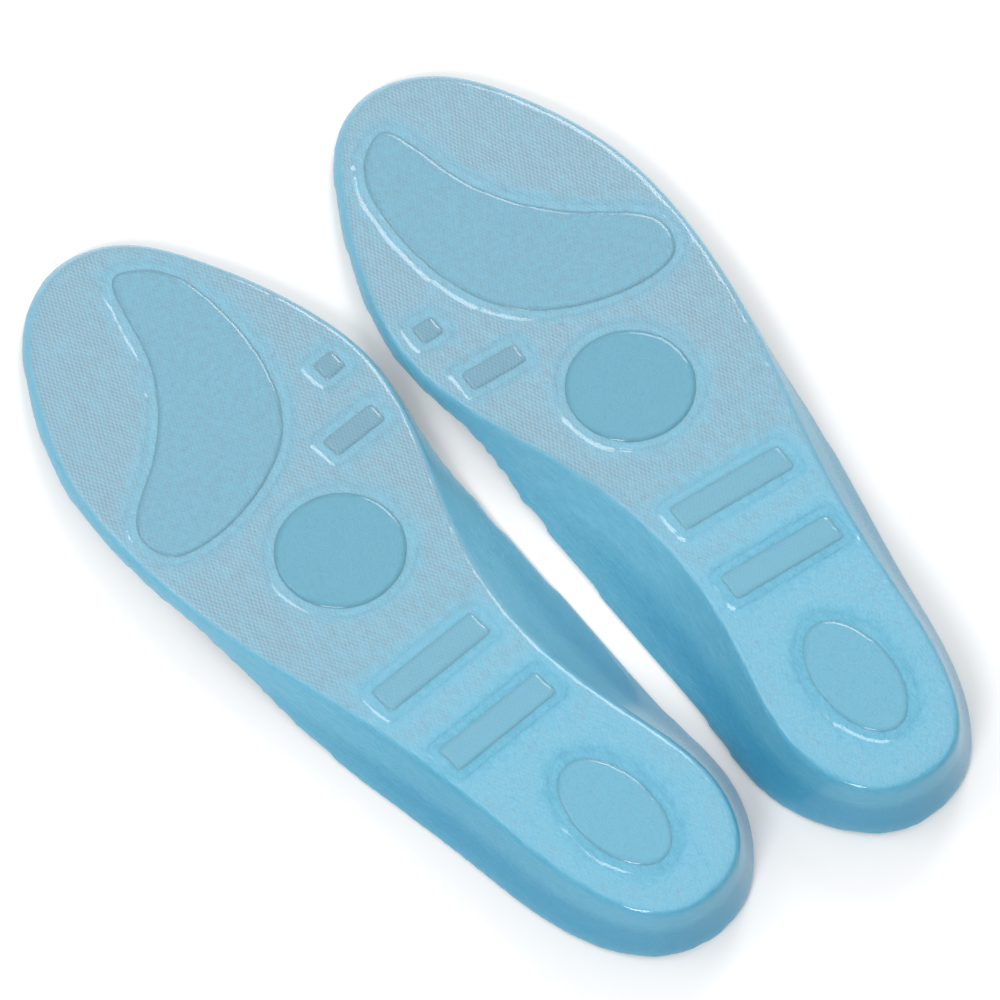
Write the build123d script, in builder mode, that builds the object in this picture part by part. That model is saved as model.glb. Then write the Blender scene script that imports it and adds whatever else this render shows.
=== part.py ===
"""A pair of cushioned gel insoles, lying underside up on the rims of their heel cups.

Millimetres, +Z up, +Y from the heels to the toes. The left-foot insole is at +X and the right-foot one at -X,
because both are turned over. Plan points of one insole are (lateral, forward) from the back of its heel.
"""

from build123d import *
from math import cos, hypot, radians, sin
import os

os.makedirs("parts", exist_ok=True)

# Driving sizes of one insole
LENGTH = 270
HEEL_HEIGHT = 20.0  # underside of the heel above the rim of the cup
TOE_HEIGHT = 5.2
FOOTBED_HEEL = 11.5  # foot side of the gel above the rim, so that the heel gel is 8.5 thick
FOOTBED_TOE = 0.7
RIM_THICKNESS = 3.0
COVER_THICKNESS = 0.6
SHOULDER_RADIUS = 2.2

# Inserts in the underside: each lies in a pocket with a groove round it
POCKET_DEPTH = 1.6
GROOVE = 1.8
PAD_DROP = 0.1  # top of a pad below the underside's plane
PAD_EDGE_RADIUS = 0.9

# How the pair lies
TOE_OUT = 4.4  # degrees that each insole turns away from the middle
HEEL_SPACING = 63.2
STAGGER = 7.5  # the left-foot insole lies this much further back
CENTRE = (0.0, -134.3)

# Outline of the rim, from the back of the heel up the lateral side, round the toe and down the arch side
RIM = [
    (0, 0), (20, 8.5), (31, 29), (36, 60), (42, 100), (46, 140), (49, 180), (46, 214),
    (33, 245), (15, 265.5), (0, 270), (-14, 266.5), (-31, 245), (-42, 216), (-46, 188),
    (-42, 158), (-38, 125), (-35.5, 90), (-33.5, 55), (-31.5, 27), (-19, 7.5),
]
# Outline of the flat underside, point for point inside the rim
UNDERSIDE = [
    (1, 4.5), (14, 9), (23, 27), (27, 60), (32, 100), (41, 140), (45.5, 180), (42.5, 212),
    (30, 242), (13, 261.5), (0, 265.5), (-12, 262.5), (-28, 242), (-38.5, 214), (-42, 187),
    (-34, 157), (-21, 125), (-15.5, 88), (-20, 56), (-22.5, 28), (-13, 8.5),
]
# Outline of the crescent under the toes and the ball
CRESCENT = [
    (-10, 256), (-21, 247), (-25, 226), (-21, 200), (-10, 182), (8, 172.5), (27, 170),
    (40, 175), (41.5, 188), (30, 199), (15, 211.5), (4, 229), (-1, 246),
]
METATARSAL_CENTRE = (3.3, 146.4)
METATARSAL_RADIUS = 20
BALL_BLOCKS = {"ball_square_pad": ((-32.5, 192), (11.5, 11)), "ball_bar_pad": ((-24, 172), (22, 11))}
ARCH_RIBS = {"arch_rib_front": ((8, 104.5), (40, 13)), "arch_rib_rear": ((7, 79.5), (39, 13))}
BLOCK_CORNER = 2.0
HEEL_CENTRE = (2.5, 39)
HEEL_RADII = (13, 21)


def sloped_plane(side, heel_z, toe_z):
    """A plane over one insole's plan, rising from toe_z at the toe to heel_z at the heel."""
    turn = radians(TOE_OUT) * side
    slope = (heel_z - toe_z) / LENGTH
    origin = (CENTRE[0] + side * HEEL_SPACING / 2, CENTRE[1] - side * STAGGER / 2, heel_z)
    across = (cos(turn), -sin(turn), 0)
    normal = (slope * sin(turn), slope * cos(turn), 1)
    return Plane(origin=origin, x_dir=across, z_dir=normal)


def toward(points, targets, distance):
    """Each point moved by distance towards its target."""
    moved = []
    for (x, y), (tx, ty) in zip(points, targets):
        run = hypot(tx - x, ty - y)
        moved.append((x + (tx - x) / run * distance, y + (ty - y) / run * distance))
    return moved


def inset(points, distance):
    """The points of an anticlockwise outline, each moved inwards across the line between its neighbours."""
    moved = []
    for i, (x, y) in enumerate(points):
        (bx, by), (ax, ay) = points[i - 1], points[(i + 1) % len(points)]
        chord = hypot(ax - bx, ay - by)
        moved.append((x - (ay - by) / chord * distance, y + (ax - bx) / chord * distance))
    return moved


def outline(side, points):
    """A closed smooth face through plan points, in the sketch that is open."""
    with BuildLine(Plane.XY) as line:
        Spline(*[(side * x, y) for x, y in points], periodic=True)
    make_face(line.line.edges())


def hollow(side, inset, drop):
    """The space inside the cup: from the rim up to the footbed, inset and drop smaller than the gel's."""
    lower = toward(RIM, UNDERSIDE, RIM_THICKNESS + inset)
    upper = toward(UNDERSIDE, RIM, -inset) if inset else UNDERSIDE
    with BuildPart() as space:
        with BuildSketch(sloped_plane(side, 0, 0)):
            outline(side, lower)
        with BuildSketch(sloped_plane(side, FOOTBED_HEEL - drop, FOOTBED_TOE - drop)):
            outline(side, upper)
        loft()
    return space.part


def under_rim(side, drop, floor):
    """The space below the rim, which lies on the floor round the heel and the arch and rises to the footbed."""
    fall = (FOOTBED_HEEL - FOOTBED_TOE) / LENGTH
    faces = []
    for lateral, end_of_forefoot, start_of_rise in ((-70, 178, 135), (70, 160, 100)):
        wall = sloped_plane(side, 0, 0)
        section = Plane(
            origin=wall.from_local_coords((side * lateral, 0, 0)), x_dir=wall.y_dir, z_dir=-wall.x_dir
        )
        up = section.to_local_coords(wall.from_local_coords((side * lateral, 0, 1))).Y
        high = FOOTBED_HEEL - fall * end_of_forefoot - drop
        toe = FOOTBED_HEEL - fall * (LENGTH + 20) - drop
        with BuildSketch(section) as profile:
            with BuildLine():
                rise = Spline(
                    (start_of_rise, up * floor),
                    (end_of_forefoot, up * high),
                    tangents=((1, 0), (1, -up * fall)),
                )
                Polyline(
                    rise @ 1, (LENGTH + 20, up * toe), (LENGTH + 20, up * -20), (-20, up * -20),
                    (-20, up * floor), rise @ 0,
                )
            make_face()
        faces.append(profile.sketch.faces()[0])
    return Solid.make_loft([face.outer_wire() for face in faces], ruled=True)


def pad(name, plane, draw):
    """A rounded pad standing on the pocket's bottom. draw sketches its outline, smaller by the amount given."""
    with BuildPart() as insert:
        with BuildSketch(plane.offset(-POCKET_DEPTH)):
            draw(GROOVE)
        extrude(amount=POCKET_DEPTH - PAD_DROP)
        top = insert.faces().filter_by(GeomType.PLANE).sort_by(Axis.Z)[-1]
        fillet(top.edges(), radius=PAD_EDGE_RADIUS)
    insert.part.label = name
    export_step(insert.part, f"parts/{name}.step")


def insert_shapes(side):
    """Name of each insert, with a function that sketches its pocket, smaller by the amount given."""

    def crescent(smaller):
        outline(side, inset(CRESCENT, smaller))

    def metatarsal(smaller):
        with Locations((side * METATARSAL_CENTRE[0], METATARSAL_CENTRE[1])):
            Circle(METATARSAL_RADIUS - smaller)

    def heel(smaller):
        with Locations((side * HEEL_CENTRE[0], HEEL_CENTRE[1])):
            Ellipse(HEEL_RADII[0] - smaller, HEEL_RADII[1] - smaller)

    def block(centre, size):
        def draw(smaller):
            with Locations((side * centre[0], centre[1])):
                RectangleRounded(size[0] - 2 * smaller, size[1] - 2 * smaller, BLOCK_CORNER - smaller / 2)

        return draw

    shapes = {"forefoot_pad": crescent, "metatarsal_pad": metatarsal, "heel_pad": heel}
    for name, (centre, size) in {**BALL_BLOCKS, **ARCH_RIBS}.items():
        shapes[name] = block(centre, size)
    return shapes


for foot, side in (("left", 1), ("right", -1)):
    floor = sloped_plane(side, 0, 0)
    underside = sloped_plane(side, HEEL_HEIGHT, TOE_HEIGHT)
    shapes = insert_shapes(side)

    # Gel base: a flat underside with rounded shoulders, and walls that fall to the rim of the heel cup
    with BuildPart() as gel_base:
        with BuildSketch(floor):
            outline(side, RIM)
        with BuildSketch(underside):
            outline(side, UNDERSIDE)
        loft()
        fillet(gel_base.faces().filter_by(GeomType.PLANE).sort_by(Axis.Z)[-1].edges(), radius=SHOULDER_RADIUS)
        add(hollow(side, 0, 0), mode=Mode.SUBTRACT)
        add(under_rim(side, 0, 0), mode=Mode.SUBTRACT)
        with BuildSketch(underside):
            for draw in shapes.values():
                draw(0)
        extrude(amount=-POCKET_DEPTH, mode=Mode.SUBTRACT)
    gel_base.part.label = f"{foot}_gel_base"
    export_step(gel_base.part, f"parts/{foot}_gel_base.step")

    # Knit cover: lines the footbed and the inside of the cup, and ends just short of the rim
    with BuildPart() as top_cover:
        add(hollow(side, 0, 0))
        add(hollow(side, COVER_THICKNESS, COVER_THICKNESS), mode=Mode.SUBTRACT)
        add(under_rim(side, COVER_THICKNESS, COVER_THICKNESS), mode=Mode.SUBTRACT)
    top_cover.part.label = f"{foot}_top_cover"
    export_step(top_cover.part, f"parts/{foot}_top_cover.step")

    for name, draw in shapes.items():
        pad(f"{foot}_{name}", underside, draw)
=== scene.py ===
"""A pair of blue gel insoles, underside up, on a white floor.

Every gel piece is remeshed from its CAD node, softened as moulded gel is, and crowned where it is a pad.
Metres, in the row frame: +Y from the heels to the toes, the left-foot insole at +X.
"""

import math

import bmesh
import bpy
import numpy as np
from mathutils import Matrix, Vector, kdtree


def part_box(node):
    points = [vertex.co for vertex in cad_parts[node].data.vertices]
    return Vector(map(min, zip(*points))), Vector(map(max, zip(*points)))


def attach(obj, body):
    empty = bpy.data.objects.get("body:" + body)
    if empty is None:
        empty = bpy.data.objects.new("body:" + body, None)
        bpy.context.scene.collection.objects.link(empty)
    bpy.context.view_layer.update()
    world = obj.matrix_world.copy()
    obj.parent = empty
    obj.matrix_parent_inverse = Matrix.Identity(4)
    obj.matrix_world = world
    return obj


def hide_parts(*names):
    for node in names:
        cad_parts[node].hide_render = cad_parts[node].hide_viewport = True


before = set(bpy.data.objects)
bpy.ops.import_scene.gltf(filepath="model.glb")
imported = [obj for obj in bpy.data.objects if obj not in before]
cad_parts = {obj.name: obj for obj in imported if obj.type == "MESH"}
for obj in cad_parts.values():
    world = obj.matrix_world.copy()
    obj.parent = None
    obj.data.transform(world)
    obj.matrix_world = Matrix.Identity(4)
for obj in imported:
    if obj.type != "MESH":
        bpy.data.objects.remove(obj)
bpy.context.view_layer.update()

SIDES = {"left": 1, "right": -1}
TOE_OUT = math.radians(4.4)  # each insole turns away from the middle by this

# Camera with a long lens. Bearings are in degrees from -Y towards +X, heights in degrees over the floor.
AZIMUTH, ELEVATION = -37.5, 62
TARGET = Vector((0.0006, 0.0060, 0.0))
DISTANCE = 1.6
VIEW_WIDTH = 0.2695  # width seen at the target
SENSOR = 36.0  # millimetres
CLIP_END = 20

# Lights: bearing, height, distance, diameter and power of each
LIGHTS = {
    "key": (-60, 42, 1.6, 0.5, 9),
    "rim": (130, 35, 1.6, 0.6, 7),
    "fill": (-140, 50, 1.8, 0.9, 4),
}
SKY_STRENGTH = 0.75
FLOOR_HALF_SIDE, FLOOR_HEIGHT = 6.0, -0.0002
FLOOR_COLOUR, FLOOR_ROUGHNESS, FLOOR_SHINE = (0.93, 0.93, 0.93, 1), 0.9, 0.1

# Meshes
BASE_VOXEL, PAD_VOXEL = 0.0008, 0.0006
SMOOTHING_FACTOR = 0.5
BASE_SMOOTHING, PAD_SMOOTHING, WALL_SMOOTHING = 11, 14, 40
WALL_SMOOTHING_BAND = (0.0025, 0.0042)  # depths below the underside where it starts and is full
MEASURING_EDGE, MEASURING_ROUNDS = 0.0015, 6  # how finely a pad's CAD mesh is cut up to measure from
COVER_WELD, COVER_SHARP_ANGLE = 0.00001, math.radians(35)

# An underside's plane is found from the CAD faces that point upwards, over the rim, and lie in one plane
UPWARD, OVER_RIM = 0.99, 0.0035
SAME_DIRECTION, SAME_HEIGHT = 0.99995, 0.0003

# Grooves round the pads
POCKET_DEPTH = 0.0016
POCKET_SEARCH_DEPTH = 0.0024  # points deeper than this aren't in a pocket
GROOVE_START, GROOVE_REACH = 0.0006, 0.0035  # distances from a pad where the lift is full and where it ends
GROOVE_LIFT = 0.00115  # the most by which the soft grooves are shallower than the CAD's

# For each pad, the rise of its crown and the width of the slope to it.
# The profile uses up to five sixths of the rise.
CROWNS = {
    "forefoot_pad": (0.0017, 0.012),
    "metatarsal_pad": (0.0032, 0.014),
    "heel_pad": (0.0015, 0.009),
    "ball_square_pad": (0.0006, 0.003),
    "ball_bar_pad": (0.0006, 0.003),
    "arch_rib_front": (0.0008, 0.0045),
    "arch_rib_rear": (0.0008, 0.0045),
}
CROWN_OVERHANG = 0.35  # the profile starts this share of the slope outside the edge, so it is steep there
PAD_TOP_BAND = 0.0009  # what lies within this of a pad's highest point is its top

# How deep the gel's colour is, from 0, palest, to 1, deepest: from the gel's thickness, with painted shade
# on slopes, round the pads and at the metatarsal pad's edge
FOREFOOT_DEPTH, HEEL_EXTRA = 0.04, 0.26
HEEL_STARTS, HEEL_FULL = 0.56, 0.22  # shares of the length, from the heel
WALL_EXTRA, FRONT_WALL_LESS = 0.75, 0.10
WALL_STARTS, WALL_FULL = 0.0008, 0.011  # depths below the underside
WALL_FLATNESS = (0.995, 0.80)  # cosines of the slope where the wall's colour starts and is full
BRIGHT_RIM_LESS, BRIGHT_RIM_HEIGHT = 0.3, 0.007
# Painted shade on sloping faces: the underside's shoulders and the sides of the grooves
SLOPE_SHADE_EXTRA, SLOPE_SHADE_FLATNESS = 0.38, (0.985, 0.75)
GROOVE_SHADE_EXTRA, GROOVE_SHADE_WIDTH = 0.17, 0.0045  # painted shade: deeper colour round every pad
PAD_DEPTHS = {
    "forefoot_pad": 0.26,
    "metatarsal_pad": 0.34,
    "heel_pad": 0.34,
    "ball_square_pad": 0.12,
    "ball_bar_pad": 0.12,
    "arch_rib_front": 0.30,
    "arch_rib_rear": 0.34,
}
PAD_EDGE_SHARE = 0.75  # share of a pad's depth at its edge
PAD_DEPTH_SLOPE = 1.2  # distance inwards where that depth is full, in slopes of its crown
METATARSAL_MIDDLE = (0.45, 0.008, 0.017)  # extra depth, and the distances where it starts and is full
METATARSAL_EDGE_SHADE = (0.12, 0.004)  # painted shade, a darker ring at the pad's steep edge: extra depth, and the distance inwards where it ends

# Gel
PALE = (0.165, 0.335, 0.445, 1)
SOFT = (0.155, 0.475, 0.645, 1)
MIDDLE = (0.085, 0.385, 0.555, 1)
DEEP = (0.025, 0.29, 0.48, 1)
SOFT_AT, MIDDLE_AT = 0.3, 0.62
PALE_STITCH = (0.33, 0.50, 0.59, 1)
# Gain on each pad's colour. Above 1 it is painted light that lifts the heel pad, blocks and ribs out of the
# shade of their grooves; below 1 it only darkens the tone.
PAD_BRIGHTNESS = {
    "forefoot_pad": 0.95,
    "metatarsal_pad": 0.94,
    "heel_pad": 1.14,
    "ball_square_pad": 1.22,
    "ball_bar_pad": 1.22,
    "arch_rib_front": 1.22,
    "arch_rib_rear": 1.22,
}
BASE_KNIT, PAD_KNIT, HEEL_PAD_KNIT = 0.9, 0.7, 0.0  # how strongly the stitches show
KNIT_FADE = 2.4  # the stitches are gone where the depth reaches 1 over this
BASE_SCATTER, PAD_SCATTER = 0.35, 0.06  # share of scattered light: a thin pad loses too much of it
SCATTER_RADIUS, SCATTER_SCALE = (0.35, 0.8, 1.0), 0.004
CLOUD_EXTRA = 0.42
GEL_SHADER = {"IOR": 1.45, "Specular IOR Level": 0.5, "Coat Weight": 0.7, "Coat Roughness": 0.10}
GEL_ROUGHNESS = (0.22, 0.16)  # least, and how much the fine noise adds
GRAIN_IN_SKIN = 0.4
WAVES_BUMP, SKIN_BUMP = (0.7, 0.0006), (0.55, 0.00016)  # strength and distance

# Knit
KNIT_PITCH = 0.00115
COVER_PITCH = KNIT_PITCH * 1.1
KNIT_WANDER = 0.9  # in pitches
COVER_DARK, COVER_LIGHT = (0.42, 0.60, 0.72, 1), (0.55, 0.71, 0.80, 1)
COVER_STITCH = (0.74, 0.84, 0.89, 1)
COVER_ROUGHNESS = (0.72, 0.2)
COVER_SHEEN, COVER_SHEEN_ROUGHNESS = 0.35, 0.4
FUZZ_IN_COVER, COVER_BUMP = 0.35, (0.8, 0.00025)

# Scale and detail of each noise
CLOUDS, SMALL_CLOUDS, COVER_CLOUDS = (38.0, 3.0), (150.0, 2.0), (45.0, 3.0)
GRAIN, WAVES, FUZZ, WANDER = (900.0, 2.0), (160.0, 2.0), (2600.0, 2.0), (60.0, 1.0)


def smoothstep(start, full, value):
    """From 0 at start to 1 at full, which may be the smaller of the two."""
    t = np.clip((value - start) / (full - start), 0, 1)
    return t * t * (3 - 2 * t)


# Meshes


def points_of(mesh):
    points = np.zeros(len(mesh.vertices) * 3)
    mesh.vertices.foreach_get("co", points)
    return points.reshape(-1, 3)


def normals_of(mesh):
    normals = np.zeros(len(mesh.vertices) * 3)
    mesh.vertices.foreach_get("normal", normals)
    return normals.reshape(-1, 3)


def set_points(mesh, points):
    mesh.vertices.foreach_set("co", points.ravel())
    mesh.update()


def set_depth(mesh, depth):
    """Stores how deep the gel's colour is at every point, painted shade included."""
    layer = mesh.attributes.new("gel_depth", "FLOAT", "POINT")
    layer.data.foreach_set("value", np.asarray(depth, np.float32))


def tree_of(points):
    tree = kdtree.KDTree(len(points))
    for i, point in enumerate(points):
        tree.insert(point, i)
    tree.balance()
    return tree


def place_in_scene(name, data):
    obj = bpy.data.objects.new(name, data)
    bpy.context.scene.collection.objects.link(obj)
    return obj


def copy_of(node, name):
    """A new piece with a copy of a CAD node's mesh."""
    obj = place_in_scene(name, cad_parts[node].data.copy())
    obj.data.materials.clear()
    return obj


def add_smoothing(obj, name, iterations):
    smooth = obj.modifiers.new(name, "SMOOTH")
    smooth.factor = SMOOTHING_FACTOR
    smooth.iterations = iterations
    return smooth


def apply_modifiers(obj):
    evaluated = obj.evaluated_get(bpy.context.evaluated_depsgraph_get())
    mesh = bpy.data.meshes.new_from_object(evaluated)
    obj.modifiers.clear()
    old = obj.data
    obj.data = mesh
    bpy.data.meshes.remove(old)
    obj.data.shade_smooth()


def soft_copy(node, name, voxel, smoothing):
    """A new piece in the shape of a CAD node, as an even mesh with softened edges."""
    obj = copy_of(node, name)
    remesh = obj.modifiers.new("remesh", "REMESH")
    remesh.mode = "VOXEL"
    remesh.voxel_size = voxel
    add_smoothing(obj, "smooth", smoothing)
    apply_modifiers(obj)
    return obj


def smooth_walls(obj, normal, height):
    """Extra smoothing for the walls and the thin edge of the rim, and none for the underside."""
    group = obj.vertex_groups.new(name="walls")
    weights = smoothstep(*WALL_SMOOTHING_BAND, height - points_of(obj.data) @ normal)
    for i in np.nonzero(weights)[0]:
        group.add([int(i)], float(weights[i]), "REPLACE")
    add_smoothing(obj, "smooth_walls", WALL_SMOOTHING).vertex_group = "walls"
    apply_modifiers(obj)


def underside_plane(foot):
    """Normal and height of an insole's flat underside, from the upward faces of its CAD gel."""
    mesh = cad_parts[f"{foot}_gel_base"].data
    normal, moment, total = Vector(), 0.0, 0.0
    for face in mesh.polygons:
        if face.normal.z > UPWARD and face.center.z > OVER_RIM:
            normal += face.normal * face.area
    normal.normalize()
    heights = [
        (face.center.dot(normal), face.area)
        for face in mesh.polygons
        if face.normal.dot(normal) > SAME_DIRECTION
    ]
    top = max(height for height, _ in heights)
    for height, area in heights:
        if height > top - SAME_HEIGHT:
            moment += height * area
            total += area
    return np.array(normal), moment / total


# Materials


class Nodes:
    """Short calls for building one node tree."""

    def __init__(self, name):
        self.material = bpy.data.materials.new(name)
        self.material.use_nodes = True
        self.tree = self.material.node_tree
        self.shader = self.tree.nodes["Principled BSDF"]

    def new(self, kind, inputs=None, **settings):
        node = self.tree.nodes.new(kind)
        for key, value in settings.items():
            setattr(node, key, value)
        for key, value in (inputs or {}).items():
            self.feed(node.inputs[key], value)
        return node

    def feed(self, socket, value):
        if isinstance(value, bpy.types.NodeSocket):
            self.tree.links.new(value, socket)
        else:
            socket.default_value = value

    def math(self, operation, a, b=0.0, clamp=False):
        return self.new("ShaderNodeMath", {0: a, 1: b}, operation=operation, use_clamp=clamp).outputs[0]

    def scaled(self, value, factor, offset):
        inputs = {0: value, 1: factor, 2: offset}
        return self.new("ShaderNodeMath", inputs, operation="MULTIPLY_ADD").outputs[0]

    def mix(self, factor, a, b, blend="MIX"):
        node = self.new("ShaderNodeMix", data_type="RGBA", blend_type=blend)
        for socket, value in ((node.inputs[0], factor), (node.inputs[6], a), (node.inputs[7], b)):
            self.feed(socket, value)
        return node.outputs[2]

    def noise(self, kind):
        scale, detail = kind
        return self.new("ShaderNodeTexNoise", {"Scale": scale, "Detail": detail}).outputs["Fac"]

    def roughness(self, kind, noise):
        least, added = kind
        self.feed(self.shader.inputs["Roughness"], self.scaled(noise, added, least))

    def knit(self, foot, pitch):
        """Staggered stitches, from 0 between to 1 on them, in rows across one insole."""
        place = self.new("ShaderNodeTexCoord").outputs["Object"]
        scale, detail = WANDER
        wander = self.new("ShaderNodeTexNoise", {"Scale": scale, "Detail": detail, "Vector": place})
        inputs = {0: wander.outputs["Color"], "Scale": pitch * KNIT_WANDER}
        bent = self.new("ShaderNodeVectorMath", inputs, operation="SCALE")
        moved = self.new("ShaderNodeVectorMath", {0: place, 1: bent.outputs[0]}, operation="ADD")
        turned = self.new(
            "ShaderNodeVectorRotate",
            {"Angle": TOE_OUT * SIDES[foot], "Vector": moved.outputs[0]},
            rotation_type="Z_AXIS",
        )
        axes = self.new("ShaderNodeSeparateXYZ", {0: turned.outputs[0]})
        across = self.math("SINE", self.math("MULTIPLY", axes.outputs[0], 2 * math.pi / pitch))
        along = self.math("SINE", self.math("MULTIPLY", axes.outputs[1], math.pi / pitch))
        return self.scaled(self.math("MULTIPLY", across, along), 0.5, 0.5)

    def bump(self, height, kind, after=None):
        strength, distance = kind
        node = self.new("ShaderNodeBump", {"Strength": strength, "Distance": distance, "Height": height})
        if after is not None:
            self.feed(node.inputs["Normal"], after)
        return node.outputs["Normal"]


def gel_material(name, foot, knit_strength, scatter, brightness):
    """An opaque stand-in for clear gel over knit: deeper in colour where thick and where gel_depth holds
    painted shade, stitched where thin.
    """
    n = Nodes(name)
    depth = n.new("ShaderNodeAttribute", attribute_name="gel_depth").outputs["Fac"]
    stitches = n.knit(foot, KNIT_PITCH)

    # Colour by depth, clouded
    clouds = n.math("SUBTRACT", n.math("ADD", n.noise(CLOUDS), n.noise(SMALL_CLOUDS)), 1.0)
    tone = n.math("ADD", depth, n.math("MULTIPLY", clouds, CLOUD_EXTRA), clamp=True)
    ramp = n.new("ShaderNodeValToRGB", {"Fac": tone})
    stops = ramp.color_ramp.elements
    stops[0].color, stops[1].color = PALE, DEEP
    stops.new(SOFT_AT).color = SOFT
    stops.new(MIDDLE_AT).color = MIDDLE

    # Stitches
    clearness = n.math("SUBTRACT", 1.0, n.math("MULTIPLY", depth, KNIT_FADE), clamp=True)
    dots = n.math("MULTIPLY", stitches, n.math("MULTIPLY", clearness, knit_strength))
    colour = n.mix(dots, ramp.outputs["Color"], PALE_STITCH)
    # The pad's gain: above 1 it is painted light against the shade of its groove
    grey = (brightness, brightness, brightness, 1)
    n.feed(n.shader.inputs["Base Color"], n.mix(1.0, colour, grey, "MULTIPLY"))

    # Surface
    grain = n.noise(GRAIN)
    n.roughness(GEL_ROUGHNESS, grain)
    waves = n.bump(n.noise(WAVES), WAVES_BUMP)
    relief = n.math("ADD", dots, n.math("MULTIPLY", grain, GRAIN_IN_SKIN))
    n.feed(n.shader.inputs["Normal"], n.bump(relief, SKIN_BUMP, waves))
    for key, value in GEL_SHADER.items():
        n.shader.inputs[key].default_value = value
    n.shader.inputs["Subsurface Weight"].default_value = scatter
    n.shader.inputs["Subsurface Scale"].default_value = SCATTER_SCALE
    n.shader.inputs["Subsurface Radius"].default_value = SCATTER_RADIUS
    return n.material


def knit_material(name, foot):
    n = Nodes(name)
    stitches = n.knit(foot, COVER_PITCH)
    base = n.mix(n.noise(COVER_CLOUDS), COVER_DARK, COVER_LIGHT)
    n.feed(n.shader.inputs["Base Color"], n.mix(stitches, base, COVER_STITCH))
    fuzz = n.noise(FUZZ)
    height = n.math("ADD", stitches, n.math("MULTIPLY", fuzz, FUZZ_IN_COVER))
    n.feed(n.shader.inputs["Normal"], n.bump(height, COVER_BUMP))
    n.roughness(COVER_ROUGHNESS, fuzz)
    n.shader.inputs["Sheen Weight"].default_value = COVER_SHEEN
    n.shader.inputs["Sheen Roughness"].default_value = COVER_SHEEN_ROUGHNESS
    return n.material


# Pieces


def finish_piece(obj, foot, node, material):
    obj.data.materials.append(material)
    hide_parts(node)
    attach(obj, f"{foot}_insole")


def measuring_points(foot, kind):
    """Points on a pad's faces, close enough together to measure distances from."""
    mesh = bpy.data.meshes.new("measure")
    bm = bmesh.new()
    bm.from_mesh(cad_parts[f"{foot}_{kind}"].data)
    for _ in range(MEASURING_ROUNDS):
        long_edges = [edge for edge in bm.edges if edge.calc_length() > MEASURING_EDGE]
        if not long_edges:
            break
        bmesh.ops.subdivide_edges(bm, edges=long_edges, cuts=1)
    bm.to_mesh(mesh)
    bm.free()
    points = points_of(mesh)
    bpy.data.meshes.remove(mesh)
    return points


def distance_to_pads(foot, points, chosen):
    """Distance from each chosen point to the nearest pad's CAD mesh, and a metre for the others."""
    tree = tree_of(np.concatenate([measuring_points(foot, kind) for kind in CROWNS]))
    distance = np.full(len(points), 1.0)
    distance[chosen] = [tree.find(point)[2] for point in points[chosen]]
    return distance


def gel_base(foot, normal, height):
    node = f"{foot}_gel_base"
    obj = soft_copy(node, f"{foot}_gel", BASE_VOXEL, BASE_SMOOTHING)
    smooth_walls(obj, normal, height)

    # Shallower grooves
    points = points_of(obj.data)
    below = height - points @ normal
    gap = distance_to_pads(foot, points, below < POCKET_SEARCH_DEPTH)
    lift = smoothstep(GROOVE_REACH, GROOVE_START, gap) * smoothstep(0.0, POCKET_DEPTH, below)
    points += np.outer(lift * GROOVE_LIFT, normal)
    set_points(obj.data, points)

    # Depth of colour, from thickness and painted shade
    below = height - points @ normal
    flatness = normals_of(obj.data) @ normal
    low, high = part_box(node)
    along = (points[:, 1] - low.y) / (high.y - low.y)
    heel = smoothstep(HEEL_STARTS, HEEL_FULL, along)
    ground = FOREFOOT_DEPTH + HEEL_EXTRA * heel
    wall = smoothstep(WALL_STARTS, WALL_FULL, below) * smoothstep(*WALL_FLATNESS, flatness)
    bright_rim = BRIGHT_RIM_LESS * smoothstep(BRIGHT_RIM_HEIGHT, 0.0, points[:, 2])
    walls = ground + wall * (WALL_EXTRA - FRONT_WALL_LESS * (1 - heel) - bright_rim)
    # Painted shade: the colour deepens wherever the surface slopes, along the shoulders and groove sides
    shaded_slopes = ground + SLOPE_SHADE_EXTRA * smoothstep(*SLOPE_SHADE_FLATNESS, flatness)
    # Painted shade in and beside the grooves round the pads, where the gel is thinner
    groove_shade = GROOVE_SHADE_EXTRA * np.exp(-((gap / GROOVE_SHADE_WIDTH) ** 2))
    set_depth(obj.data, np.clip(np.maximum(walls, shaded_slopes) + groove_shade, 0, 1))

    material = gel_material(f"{foot}_base_gel", foot, BASE_KNIT, BASE_SCATTER, 1.0)
    finish_piece(obj, foot, node, material)


def crown(obj, normal, rise, slope):
    """Domes a pad's top, from nothing at its edge. Returns each point's distance inwards from it."""
    points = points_of(obj.data)
    above = points @ normal
    top = above > above.max() - PAD_TOP_BAND
    tree = tree_of(points[~top])
    inward = np.array([tree.find(point)[2] if on_top else 0.0 for point, on_top in zip(points, top)])
    start = -CROWN_OVERHANG * slope
    profile = smoothstep(start, slope, inward) - smoothstep(start, slope, 0.0)
    set_points(obj.data, points + np.outer(profile * rise, normal))
    return inward


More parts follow.
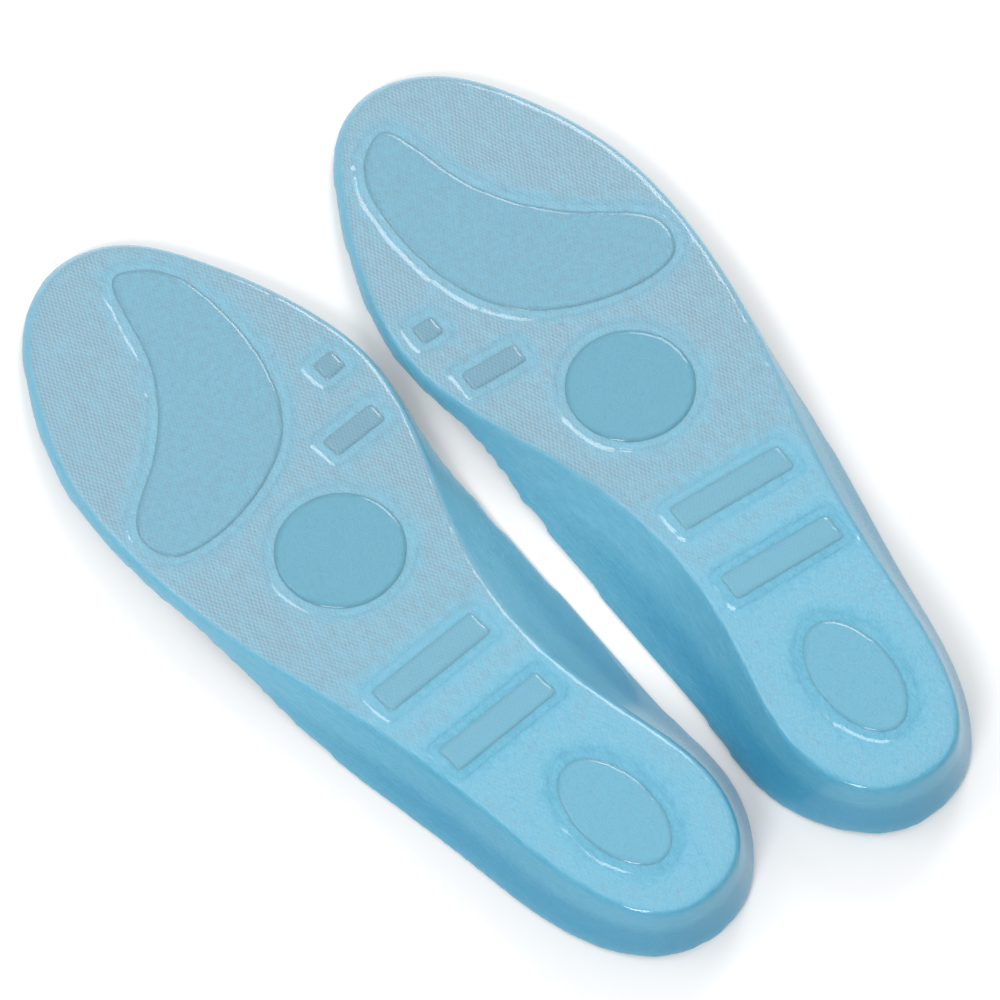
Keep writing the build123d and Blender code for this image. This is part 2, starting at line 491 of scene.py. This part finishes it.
def pad(foot, kind, normal):
    node = f"{foot}_{kind}"
    obj = soft_copy(node, f"{foot}_{kind}_gel", PAD_VOXEL, PAD_SMOOTHING)
    rise, slope = CROWNS[kind]
    inward = crown(obj, normal, rise, slope)
    middle = smoothstep(0, slope * PAD_DEPTH_SLOPE, inward)
    depth = PAD_DEPTHS[kind] * (PAD_EDGE_SHARE + (1 - PAD_EDGE_SHARE) * middle)
    if kind == "metatarsal_pad":
        extra, starts, full = METATARSAL_MIDDLE
        depth = depth + extra * smoothstep(starts, full, inward)
        # Painted shade: a dark ring along the pad's steep edge, where the gel is thinnest
        extra, ends = METATARSAL_EDGE_SHADE
        depth = depth + extra * smoothstep(ends, 0.0, inward)
    set_depth(obj.data, depth)
    knit = HEEL_PAD_KNIT if kind == "heel_pad" else PAD_KNIT
    material = gel_material(f"{foot}_{kind}_gel", foot, knit, PAD_SCATTER, PAD_BRIGHTNESS[kind])
    finish_piece(obj, foot, node, material)


def cover(foot):
    node = f"{foot}_top_cover"
    obj = copy_of(node, f"{foot}_knit_cover")
    weld = obj.modifiers.new("weld", "WELD")
    weld.merge_threshold = COVER_WELD
    apply_modifiers(obj)
    obj.data.set_sharp_from_angle(angle=COVER_SHARP_ANGLE)
    finish_piece(obj, foot, node, knit_material(f"{foot}_knit", foot))


def insole(foot):
    normal, height = underside_plane(foot)
    gel_base(foot, normal, height)
    for kind in CROWNS:
        pad(foot, kind, normal)
    cover(foot)


# Setting


def aim(obj, bearing, height, distance, target):
    """Puts a camera or a light at a bearing and height round its target, looking at it."""
    azimuth, elevation = math.radians(bearing), math.radians(height)
    level = math.cos(elevation)
    away = Vector((math.sin(azimuth) * level, -math.cos(azimuth) * level, math.sin(elevation)))
    obj.location = target + away * distance
    obj.rotation_euler = (-away).to_track_quat("-Z", "Y").to_euler()


def camera():
    data = bpy.data.cameras.new("camera")
    data.sensor_width = SENSOR
    data.lens = SENSOR * DISTANCE / VIEW_WIDTH
    data.clip_end = CLIP_END
    obj = place_in_scene("camera", data)
    aim(obj, AZIMUTH, ELEVATION, DISTANCE, TARGET)
    bpy.context.scene.camera = obj


def area_light(name, bearing, height, distance, diameter, power):
    data = bpy.data.lights.new(name, "AREA")
    data.shape = "DISK"
    data.size = diameter
    data.energy = power
    aim(place_in_scene(name, data), bearing, height, distance, Vector())


def surroundings():
    world = bpy.data.worlds.new("studio")
    bpy.context.scene.world = world
    world.use_nodes = True
    background = world.node_tree.nodes["Background"]
    background.inputs["Color"].default_value = (1, 1, 1, 1)
    background.inputs["Strength"].default_value = SKY_STRENGTH
    bpy.context.scene.view_settings.view_transform = "Standard"


def floor():
    mesh = bpy.data.meshes.new("floor")
    corners = [
        (x * FLOOR_HALF_SIDE, y * FLOOR_HALF_SIDE, FLOOR_HEIGHT)
        for x, y in ((-1, -1), (1, -1), (1, 1), (-1, 1))
    ]
    mesh.from_pydata(corners, [], [(0, 1, 2, 3)])
    obj = place_in_scene("floor", mesh)
    n = Nodes("floor")
    n.shader.inputs["Base Color"].default_value = FLOOR_COLOUR
    n.shader.inputs["Roughness"].default_value = FLOOR_ROUGHNESS
    n.shader.inputs["Specular IOR Level"].default_value = FLOOR_SHINE
    mesh.materials.append(n.material)


camera()
surroundings()
floor()
for name, light in LIGHTS.items():
    area_light(name, *light)
for foot in SIDES:
    insole(foot)
